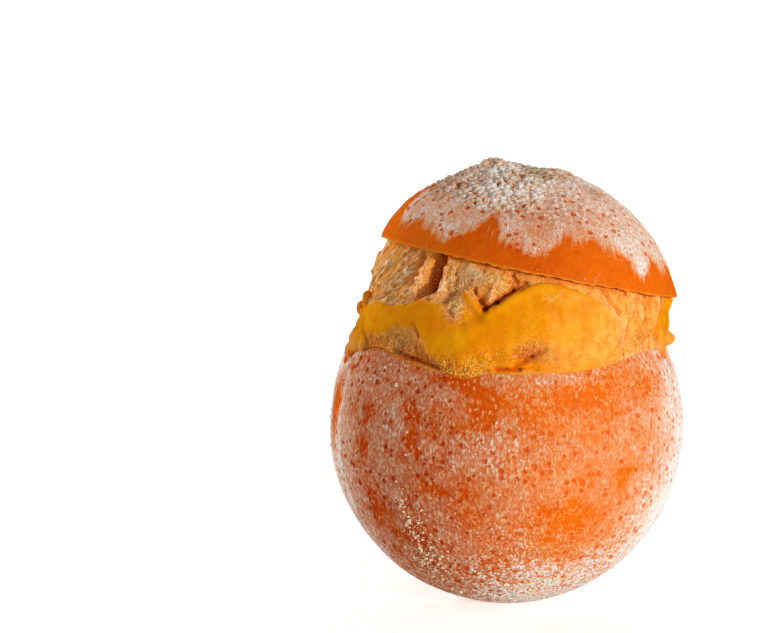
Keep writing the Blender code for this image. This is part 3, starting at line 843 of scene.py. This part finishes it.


# Churned orange sorbet: ice grains in juice, pale and matte where dry and frosty, paler on its crests with
# frost and painted light, painted deep orange shade in its hollows, and clear amber with a wet gloss where
# it has melted.
def frozen_sorbet(tree, place):
    melt, stands, frosty, rough = (
        add(tree, "ShaderNodeAttribute", out="Fac", attribute_name=label)
        for label in ("melt", "stands", "frosty", "rough")
    )
    grain = add(tree, NOISE, {"Vector": place, "Scale": 1 / 0.5, "Detail": 3.0, "Roughness": 0.65})
    drift = add(tree, NOISE, {"Vector": place, "Scale": 1 / 5.0, "Detail": 3.0, "Roughness": 0.55})
    drift = add(tree, STEP, [drift, 0.35, 0.65], **EASED)
    crystals = add(tree, CELLS, {"Vector": place, "Scale": 1 / 0.55}, out="Distance")
    blotches = add(tree, NOISE, {"Vector": place, "Scale": 1 / 2.2, "Detail": 2.0, "Roughness": 0.6})
    blotches = add(tree, STEP, [blotches, 0.48, 0.62, 0.0, 0.6], **EASED)
    dry = add(tree, MIX, {0: drift, 6: linear("faa030"), 7: linear("ffb64c")}, **COLOURS)
    # crests and tips: paler where the sorbet stands out, partly frost on the ridges and partly painted light
    crests = add(tree, STEP, [stands, 0.42, 0.85, 0.0, 0.8])
    tips = add(tree, STEP, [stands, 0.85, 1.25, 0.0, 0.9])
    light_grains = add(tree, STEP, [grain, 0.5, 0.72, 0.0, 0.8])
    grainy = add(tree, STEP, [rough, 0.05, 0.6, 0.0, 1.0])
    light_grains = add(tree, MATH, [light_grains, grainy], **TIMES)
    veil = add(tree, MATH, [grain, 1.5, frosty], **TIMES_PLUS)
    veil = add(tree, STEP, [veil, 0.85, 1.6, 0.0, 0.6])
    between = add(tree, STEP, [crystals, 0.35, 0.8, 0.0, 0.7])
    between = add(tree, MATH, [between, grainy], **TIMES)
    # painted shade: deep orange where the sorbet lies low, in its hollows, furrows and cracks
    painted_hollow_shade = add(tree, STEP, [stands, 0.38, -0.15, 0.0, 0.95])
    for share, over in (
        (crests, "ffd298"),
        (tips, "fff0d4"),
        (blotches, "ee800e"),
        (light_grains, "ffe2b4"),
        (veil, "fad6a2"),
        (between, "d87408"),
        (painted_hollow_shade, "c45004"),
    ):
        dry = add(tree, MIX, {0: share, 6: dry, 7: linear(over)}, **COLOURS)
    wet = add(tree, MIX, {0: drift, 6: linear("f69000"), 7: linear("fda402")}, **COLOURS)
    seams = add(tree, STEP, [crystals, 0.4, 0.75, 0.0, 0.8])
    seams = add(tree, MATH, [seams, rough], **TIMES)
    # painted shade: the wet sorbet is a darker orange where it lies low
    deep = add(tree, STEP, [stands, 0.2, -0.2, 0.0, 0.85])
    for share, over in ((seams, "c06a02"), (deep, "d45004")):
        wet = add(tree, MIX, {0: share, 6: wet, 7: linear(over)}, **COLOURS)
    soaked = add(tree, MATH, [grain, 0.8, melt], **TIMES_PLUS)
    soaked = add(tree, STEP, [soaked, 0.6, 1.15], **EASED)
    colour = add(tree, MIX, {0: soaked, 6: dry, 7: wet}, **COLOURS)
    # painted glints: yellow-white specks over the grains, partly grain tops and partly painted highlights
    painted_glints = add(tree, STEP, [crystals, 0.36, 0.14, 0.0, 0.95])
    painted_glints = add(tree, MATH, [painted_glints, rough], **TIMES)
    painted_sparks = add(tree, MATH, [painted_glint_specks(tree, place), grainy], **TIMES)
    painted_glints = add(tree, MATH, [painted_glints, painted_sparks], **LARGER)
    colour = add(tree, MIX, {0: painted_glints, 6: colour, 7: linear("ffd878")}, **COLOURS)

    roughness = add(tree, STEP, [soaked, 0.2, 1.0, 0.58, 0.36])
    height = add(tree, MATH, [crystals, -0.7, grain], **TIMES_PLUS)
    matte = add(tree, STEP, [soaked, 0.0, 1.0, 1.0, 0.16])
    coarse = add(tree, STEP, [rough, 0.0, 0.7, 0.35, 1.0])
    height = add(tree, MATH, [height, matte], **TIMES)
    height = add(tree, MATH, [height, coarse], **TIMES)
    bump = add(tree, "ShaderNodeBump", {"Distance": 0.22 * MM, "Height": height})
    return {
        "Base Color": colour,
        "Roughness": roughness,
        "Normal": bump,
        "IOR": 1.36,
        "Specular IOR Level": 0.1,
        "Subsurface Weight": 0.3,
        "Subsurface Radius": (1.0, 0.5, 0.15),
        "Subsurface Scale": 1.4 * MM,
    }


# Thick, sugary orange juice that ran and set again: clear amber with a wet gloss.
def melted_juice(tree, place):
    drift = add(tree, NOISE, {"Vector": place, "Scale": 1 / 2.4, "Detail": 2.0})
    drift = add(tree, STEP, [drift, 0.3, 0.7], **EASED)
    height = add(tree, "ShaderNodeSeparateXYZ", [place], out=2)
    level = add(tree, MATH, [drift, 2.4, height], **TIMES_PLUS)
    amber = add(tree, MIX, {0: drift, 6: linear("f08e00"), 7: linear("ffa606")}, **COLOURS)
    thin = add(tree, STEP, [level, 68.5, 63.5, 0.0, 0.85], **EASED)
    soaking = add(tree, STEP, [level, 63.0, 60.6, 0.0, 0.9], **EASED)
    for share, over in ((thin, "f8a448"), (soaking, "ec6410")):
        amber = add(tree, MIX, {0: share, 6: amber, 7: linear(over)}, **COLOURS)
    ripple = add(tree, NOISE, {"Vector": place, "Scale": 1 / 0.9, "Detail": 2.0})
    bump = add(tree, "ShaderNodeBump", {"Distance": 0.12 * MM, "Height": ripple})
    return {
        "Base Color": amber,
        "Roughness": 0.3,
        "Normal": bump,
        "IOR": 1.38,
        "Subsurface Weight": 0.6,
        "Subsurface Radius": (1.0, 0.55, 0.1),
        "Subsurface Scale": 2.0 * MM,
    }


# Clear ice with a milky heart: bright, glinting points on the matte rime.
def ice_crystal(tree, place):
    milk = add(tree, NOISE, {"Vector": place, "Scale": 1 / 0.8, "Detail": 1.0})
    return {
        "Base Color": add(tree, MIX, {0: milk, 6: linear("f8d8a4"), 7: linear("fff2dc")}, **COLOURS),
        "Roughness": 0.22,
        "IOR": 1.31,
        "Transmission Weight": 0.1,
    }


# The dry, corky scar of the stem: dull grey-green to brown, darker in its furrows.
def corky_scar(tree, place):
    furrows = add(tree, NOISE, {"Vector": place, "Scale": 1 / 0.8, "Detail": 3.0, "Roughness": 0.65})
    share = add(tree, STEP, [furrows, 0.35, 0.65], **EASED)
    colour = add(tree, MIX, {0: share, 6: linear("8a7a4c"), 7: linear("b4a67c")}, **COLOURS)
    dusted = add(tree, STEP, [furrows, 0.5, 0.62, 0.0, 0.85])
    colour = add(tree, MIX, {0: dusted, 6: colour, 7: linear("e6dfd2")}, **COLOURS)
    bump = add(tree, "ShaderNodeBump", {"Distance": 0.3 * MM, "Height": furrows})
    return {"Base Color": colour, "Roughness": 0.85, "Normal": bump, "Specular IOR Level": 0.25}


# ---------------------------------------------------------------- pieces


def make_shell(material):
    """The cup of peel: its frosted outside, the cut round its mouth and the hidden inside."""
    foot_level = -math.acos(FOOT_R / FRUIT_R)
    inner_r = FRUIT_R - PEEL
    inner_level = math.asin((RIM_Z - WAIST_Z) / inner_r)
    foot = [(0, 0), *line((0, 0), (FOOT_R, 0), 2.0)]
    outside = arc(FRUIT_R, WAIST_Z, foot_level, RIM_LEVEL, PEEL_EDGE)[1:]
    inner_rim = (inner_r * math.cos(inner_level), RIM_Z)
    across = line(outside[-1], inner_rim, 0.9)
    inside = arc(inner_r, WAIST_Z, inner_level, -math.pi / 2, HIDDEN_EDGE)[1:]
    mesh = spun([*foot, *outside, *across, *inside], PEEL_STEPS)
    centre = Vector((0, 0, WAIST_Z))
    skin, cut, frost, ripe, beaded = [], [], [], [], []
    for vert in mesh.verts:
        distance = (vert.co - centre).length
        outer = smooth((distance - inner_r - 2.6) / 1.0)
        below = smooth((RIM_Z - vert.co.z) / 0.8)
        skin.append(outer * smooth(vert.co.z / 0.6) * (0.3 + 0.7 * below))
        on_cut = smooth(1 - (RIM_Z - vert.co.z) / 0.5)
        cut.append(on_cut if outer > 0.5 else 1.0)
        vert.co = uneven_fruit(vert.co)
        ragged = noise.noise(vert.co * 0.9) * 0.22 + noise.noise(vert.co * 0.35) * 0.25
        vert.co.z += on_cut * ragged
        stray = vert.co + noise.noise_vector(vert.co * 0.45) * 1.6 + noise.noise_vector(vert.co * 1.2) * 0.7
        hides = patches_at(SHELL_FROST_PATCHES, azimuth(stray), stray.z) if outer > 0 else 0.0
        on_right = smooth((azimuth(vert.co) + 6) / 8)
        frost.append(SHELL_FROST + hides + (0.8 * on_right - 0.3) * on_cut)
        # painted light and shade: the zest darkens and reddens towards the shaded left of the cup, and
        # lightens again at its far left edge
        far_left = smooth((-38.5 - vert.co.x) / 2)
        ripe.append(max(smooth((vert.co.x + 26) / 44), 0.6 * far_left))
        beaded.append(SHELL_BEADS + patches_at(SHELL_BEADS_PATCHES, azimuth(vert.co), vert.co.z))
    nothing = [0.0] * len(skin)
    paint(mesh, skin=skin, cut=cut, frost=frost, ripe=ripe, beaded=beaded, crinkle=nothing, stain=nothing)
    return finished("shell_peel", mesh, material, "shell")


def frost_on_cap(degrees, up):
    """How much frost lies on the cap at an azimuth and a height above its cut, before it leans."""
    waves = sum(rise * hill(turned(degrees - where), width) for where, rise, width in CAP_LINE_WAVES)
    fraying = 1.1 * noise.noise(Vector((degrees / 1.6, up / 12, 2.0)))
    fraying += 0.9 * noise.noise(Vector((degrees / 0.7, up / 6, 3.0)))
    fraying += 1.4 * noise.noise(Vector((degrees / 7, up / 3, 5.0)))
    inside = smooth((up + fraying - CAP_FROST_LINE - waves + 2.0) / 4.2)
    heavy = CAP_FROST + patches_at(CAP_FROST_PATCHES, degrees, up)
    streak = 0.5 + 1.6 * noise.noise(Vector((degrees / 1.1, up / 7, 8.0)))
    bare = CAP_BARE + patches_at(CAP_TRAILS, degrees, up) * max(0.0, streak + 0.4)
    return bare + (heavy - bare) * inside


def make_cap(material):
    """The cut-off top of the fruit: its frosted dome, its cut edge and the hollow under it."""
    rim_level = math.asin((CUT_Z - DOME_Z) / CAP_DOME_R)
    inner_r = CAP_DOME_R - CAP_PEEL
    inner_level = math.asin((CUT_Z - DOME_Z) / inner_r)
    dome = arc(CAP_DOME_R, DOME_Z, math.pi / 2, rim_level, CAP_EDGE)
    across = line(dome[-1], (inner_r * math.cos(inner_level), CUT_Z), 0.6)
    hollow = arc(inner_r, DOME_Z, inner_level, math.pi / 2, 6.0)[1:]
    mesh = spun([*dome, *across, *hollow], CAP_STEPS)
    centre = Vector((0, 0, DOME_Z))
    skin, cut, frost, ripe, beaded, crinkle, stain = [], [], [], [], [], [], []
    for vert in mesh.verts:
        x, y, up = vert.co.x, vert.co.y, vert.co.z - CUT_Z
        outer = smooth(((vert.co - centre).length - inner_r - 2.4) / 1.0)
        on_cut = smooth(1 - up / 0.5)
        skin.append(outer * smooth((up + 0.1) / 0.8))
        cut.append(on_cut if outer > 0.5 else 1.0)
        frost.append(frost_on_cap(azimuth(vert.co), up) if outer > 0 else 0.0)
        beaded.append(CAP_BEADS + CAP_FROST_BEADS * smooth(frost[-1]))
        # painted light: the cap's zest is lighter towards both of its ends
        ripe.append(0.6 + 0.4 * smooth((abs(x + 6) - 8) / 18))
        crown = smooth((up - 8) / 8) * (0.3 + 0.7 * smooth((10 - x) / 20))
        crinkle.append(outer * crown)
        stains = [
            most * hill(math.hypot(x - at_x, y - at_y), wide) for at_x, at_y, wide, most in CAP_STAINS
        ]
        stain.append(sum(stains))
        vert.co = cap_shape(vert.co)
        ragged = noise.noise(vert.co * 0.8) * 0.3 + noise.noise(vert.co * 0.3) * 0.35
        vert.co.z += on_cut * ragged
    paint(mesh, skin=skin, cut=cut, frost=frost, ripe=ripe, beaded=beaded, crinkle=crinkle, stain=stain)
    return finished("cap_peel", mesh, material, "cap")


def make_stem_scar(material):
    """The corky button where the stem was: a furrowed ring round a small rough heart."""
    dome = math.sqrt(CAP_DOME_R**2 - SCAR_AT[0] ** 2 - SCAR_AT[1] ** 2) + DOME_Z
    mesh = spun([*((r, dome + rise) for r, rise in SCAR_PROFILE), (0, dome - 1.4)], 54)
    for vert in mesh.verts:
        radius = math.hypot(vert.co.x, vert.co.y)
        lobes = math.cos(5 * math.radians(azimuth(vert.co))) * 0.28 * smooth(radius / 3)
        spread = 1 + (lobes + 0.3 * noise.noise(vert.co * 0.5)) / 4
        vert.co.x = vert.co.x * spread + SCAR_AT[0]
        vert.co.y = vert.co.y * spread + SCAR_AT[1]
        slope = CAP_DOME_R - math.sqrt(CAP_DOME_R**2 - vert.co.x**2 - vert.co.y**2)
        slope -= CAP_DOME_R - math.sqrt(CAP_DOME_R**2 - SCAR_AT[0] ** 2 - SCAR_AT[1] ** 2)
        vert.co.z += 0.45 * noise.noise(vert.co * 1.1) - slope
        vert.co = cap_shape(vert.co)
    piece = finished("stem_scar", mesh, material)
    rounded = piece.modifiers.new("rounded", "SUBSURF")
    rounded.levels = 1
    rounded.render_levels = 1
    return settled(piece)


def make_sorbet(material):
    """The filling: hidden in the cup and the cap, and torn, furrowed and melting between them."""
    below_r = FRUIT_R - PEEL - GAP
    below_level = math.asin((RIM_Z - WAIST_Z) / below_r)
    inside = arc(below_r, WAIST_Z, -math.pi / 2, below_level, HIDDEN_EDGE)
    low, high = RIM_Z - 0.25, CUT_Z - GAP / 2
    rows = round((high - low + 4) / SORBET_EDGE)
    side = []
    for i in range(rows + 1):
        share = i / rows
        radius = MOUND_FOOT_R + (MOUND_TOP_R - MOUND_FOOT_R) * share
        radius += MOUND_BULGE * math.sin(math.pi * share)
        side.append((radius, low + (high - low) * share))
    under_r = CAP_DOME_R - CAP_PEEL - GAP
    crown = arc(under_r, DOME_Z, math.asin((CUT_Z - DOME_Z) / under_r), math.pi / 2, 7.0)
    neck = (below_r * math.cos(below_level), low)
    ledge = line(neck, side[0], 0.8)
    under_cap = line(side[-1], (crown[0][0], high), 0.8)
    profile = [*inside, neck, *ledge, *side[1:], *under_cap, *crown]
    mesh = spun(profile, SORBET_STEPS)
    plain = {"relief": 0.0, "tone": 0.0, "melt": 0.0, "rough": 0.3, "frosty": 0.0}
    marks = {label: [] for label in (*plain, "skin")}
    for vert in mesh.verts:
        share = (vert.co.z - low) / (high - low)
        radius = math.hypot(vert.co.x, vert.co.y)
        on_side = -1e-6 <= share <= 1 + 1e-6 and radius > MOUND_TOP_R - 1.5
        vert.co = lean(uneven_fruit(vert.co))
        here = sorbet_marks(azimuth(vert.co), vert.co) if on_side else plain
        edges = smooth(share / 0.04) * smooth((1 - share) / 0.05)
        here["skin"] = (0.3 + 0.7 * edges) if on_side else 0.0
        # painted shade: the sorbet is darker along its top edge, under the cap
        here["tone"] -= 0.3 * smooth((share - 0.93) / 0.07) if on_side else 0.0
        for label, value in here.items():
            marks[label].append(value)
    paint(mesh, **marks)
    return finished("sorbet_mound", mesh, material, "sorbet")


def make_juice(material):
    """The juice that ran out at both sides and set over the rim: lumps melted into each other."""
    mesh = bmesh.new()
    for centre, sizes, degrees in JUICE:
        at = Matrix.Translation(centre) @ Matrix.Rotation(math.radians(degrees), 4, "Z")
        lump = at @ Matrix.Diagonal((*sizes, 1.0))
        bmesh.ops.create_icosphere(mesh, subdivisions=3, radius=1.0, matrix=lump)
    for vert in mesh.verts:
        vert.co += noise.noise_vector(vert.co * 0.5) * 0.5 + noise.noise_vector(vert.co * 1.3) * 0.2
    piece = finished("melted_juice", mesh, material)
    welded = piece.modifiers.new("welded", "REMESH")
    welded.mode = "VOXEL"
    welded.voxel_size = 0.3 * MM
    eased = piece.modifiers.new("eased", "SMOOTH")
    eased.factor = 0.6
    eased.iterations = 8
    piece = settled(piece)
    piece.data.shade_smooth()
    if not piece.data.materials:
        piece.data.materials.append(material)
    return piece


def scatter(name, host, material, slot, weight_of, count, sizes, seed, **marks):
    """Small faceted grains on a piece's skin, thickest where weight_of its place and point is high."""
    chance = random.Random(seed)
    points = host.data.vertices
    mesh = bmesh.new()
    made, tries = 0, 0
    while made < count and tries < 400 * count:
        tries += 1
        point = points[chance.randrange(len(points))]
        if chance.random() > weight_of(point.co / MM, point.index):
            continue
        size = sizes[0] + (sizes[1] - sizes[0]) * chance.random() ** 2
        aside = Vector([chance.uniform(-0.5, 0.5) for _ in range(3)])
        aside -= point.normal * aside.dot(point.normal)
        turn = Matrix.Rotation(chance.uniform(0, math.tau), 4, "Z")
        turn = turn @ Matrix.Rotation(chance.uniform(0, 3), 4, "X")
        wide, tall = chance.uniform(0.4, 1.0), chance.uniform(0.4, 0.8)
        shape = Matrix.Diagonal((size, size * wide, size * tall, 1.0))
        at = Matrix.Translation(point.co / MM + aside + point.normal * size * 0.15)
        bmesh.ops.create_icosphere(mesh, subdivisions=1, radius=0.5, matrix=at @ turn @ shape)
        made += 1
    paint(mesh, **{label: [value] * len(mesh.verts) for label, value in marks.items()})
    piece = finished(name, mesh, material)
    piece.data.shade_flat()
    return piece


def shell_ice(place, _):
    return patches_at(SHELL_ICE, azimuth(place), place.z) if place.y < 0 or place.z < 12 else 0.02


def cap_ice(place, _):
    upright = CAP_PLACE.inverted() @ place
    return patches_at(CAP_ICE, azimuth(upright), upright.z - CUT_Z)


def melt_ice(place, _):
    return patches_at(MELT_ICE, azimuth(place), place.z)


def stage_and_light():
    """A pale floor, a soft key light at the front right, and pale surroundings."""
    mesh = bmesh.new()
    bmesh.ops.create_circle(mesh, cap_ends=True, segments=96, radius=8.0)
    data = bpy.data.meshes.new("floor")
    mesh.to_mesh(data)
    mesh.free()
    paper = bpy.data.materials.new("matte_white_paper")
    paper.use_nodes = True
    shader = paper.node_tree.nodes["Principled BSDF"]
    shader.inputs["Base Color"].default_value = linear("f2f2f2")
    shader.inputs["Roughness"].default_value = 0.9
    shader.inputs["Emission Color"].default_value = (1, 1, 1, 1)
    shader.inputs["Emission Strength"].default_value = 0.55
    data.materials.append(paper)
    floor = bpy.data.objects.new("floor", data)
    floor.visible_diffuse = False
    floor.visible_glossy = False
    floor.visible_shadow = False
    bpy.context.scene.collection.objects.link(floor)

    world = bpy.data.worlds.new("pale_room")
    world.use_nodes = True
    world.node_tree.nodes["Background"].inputs["Color"].default_value = (0.97, 0.98, 1.0, 1)
    world.node_tree.nodes["Background"].inputs["Strength"].default_value = 0.31
    world.cycles_visibility.glossy = False
    bpy.context.scene.world = world
    soft_light("key_light", 41, 10, 4, 2.14, (1.0, 0.985, 0.96))
    for name, degrees, elevation, spread, power in (
        ("left_fill", -126, 8, 40, 2.6),
        ("back_light", 160, 35, 40, 0.85),
        ("floor_bounce", 40, -48, 80, 1.05),
    ):
        soft_light(name, degrees, elevation, spread, power, (1.0, 0.98, 0.95)).visible_glossy = False


def soft_light(name, degrees, elevation, spread, power, colour):
    light = bpy.data.lights.new(name, "SUN")
    light.angle = math.radians(spread)
    light.energy = power
    light.color = colour
    lamp = bpy.data.objects.new(name, light)
    towards = on_round(1.0, 0.0, degrees, math.radians(elevation))
    lamp.location = towards
    lamp.rotation_euler = (-towards).to_track_quat("-Z", "Y").to_euler()
    bpy.context.scene.collection.objects.link(lamp)
    return lamp


def set_camera():
    """Looks at the front from a little above level, with the object right of the middle."""
    data = bpy.data.cameras.new("camera")
    data.sensor_width = 36
    data.lens = CAMERA_LENS
    camera = bpy.data.objects.new("camera", data)
    elevation = math.radians(CAMERA_RISE)
    towards = Vector((0, -math.cos(elevation), math.sin(elevation)))
    camera.location = CAMERA_AIM + towards * CAMERA_AWAY
    camera.rotation_euler = (math.pi / 2 - elevation, 0, 0)
    bpy.context.scene.collection.objects.link(camera)
    bpy.context.scene.camera = camera
    bpy.context.scene.view_settings.view_transform = "Standard"


zest = material_of("frosted_orange_zest", frosted_peel)
peel_skin = peel_relief()
sorbet = material_of("churned_orange_sorbet", frozen_sorbet)
ice = material_of("frost_crystal_ice", ice_crystal)
shell_peel = with_relief(make_shell(zest), peel_skin)
cap_peel = with_relief(make_cap(zest), peel_skin)
mound = with_relief(make_sorbet(sorbet), sorbet_relief())
graininess = mound.data.attributes["rough"].data


def loose_grains(place, index):
    return 0.25 * max(0.0, graininess[index].value - 0.6) if RIM_Z < place.z < 92 else 0.0


make_stem_scar(material_of("corky_stem_scar", corky_scar))
make_juice(material_of("melted_orange_juice", melted_juice))
scatter("shell_ice", shell_peel, ice, "shell", shell_ice, count=900, sizes=(0.3, 1.0), seed=5)
scatter("cap_ice", cap_peel, ice, "cap", cap_ice, count=60, sizes=(0.25, 0.6), seed=6)
grain_marks = {"melt": 0.0, "stands": 0.8, "frosty": 0.3, "rough": 0.4}
scatter("melt_ice", mound, ice, "sorbet", melt_ice, count=60, sizes=(0.22, 0.5), seed=8)
loose = {"count": 900, "sizes": (0.3, 0.75), "seed": 7}
scatter("sorbet_grains", mound, sorbet, "sorbet", loose_grains, **loose, **grain_marks)
stage_and_light()
set_camera()

bpy.context.view_layer.update()
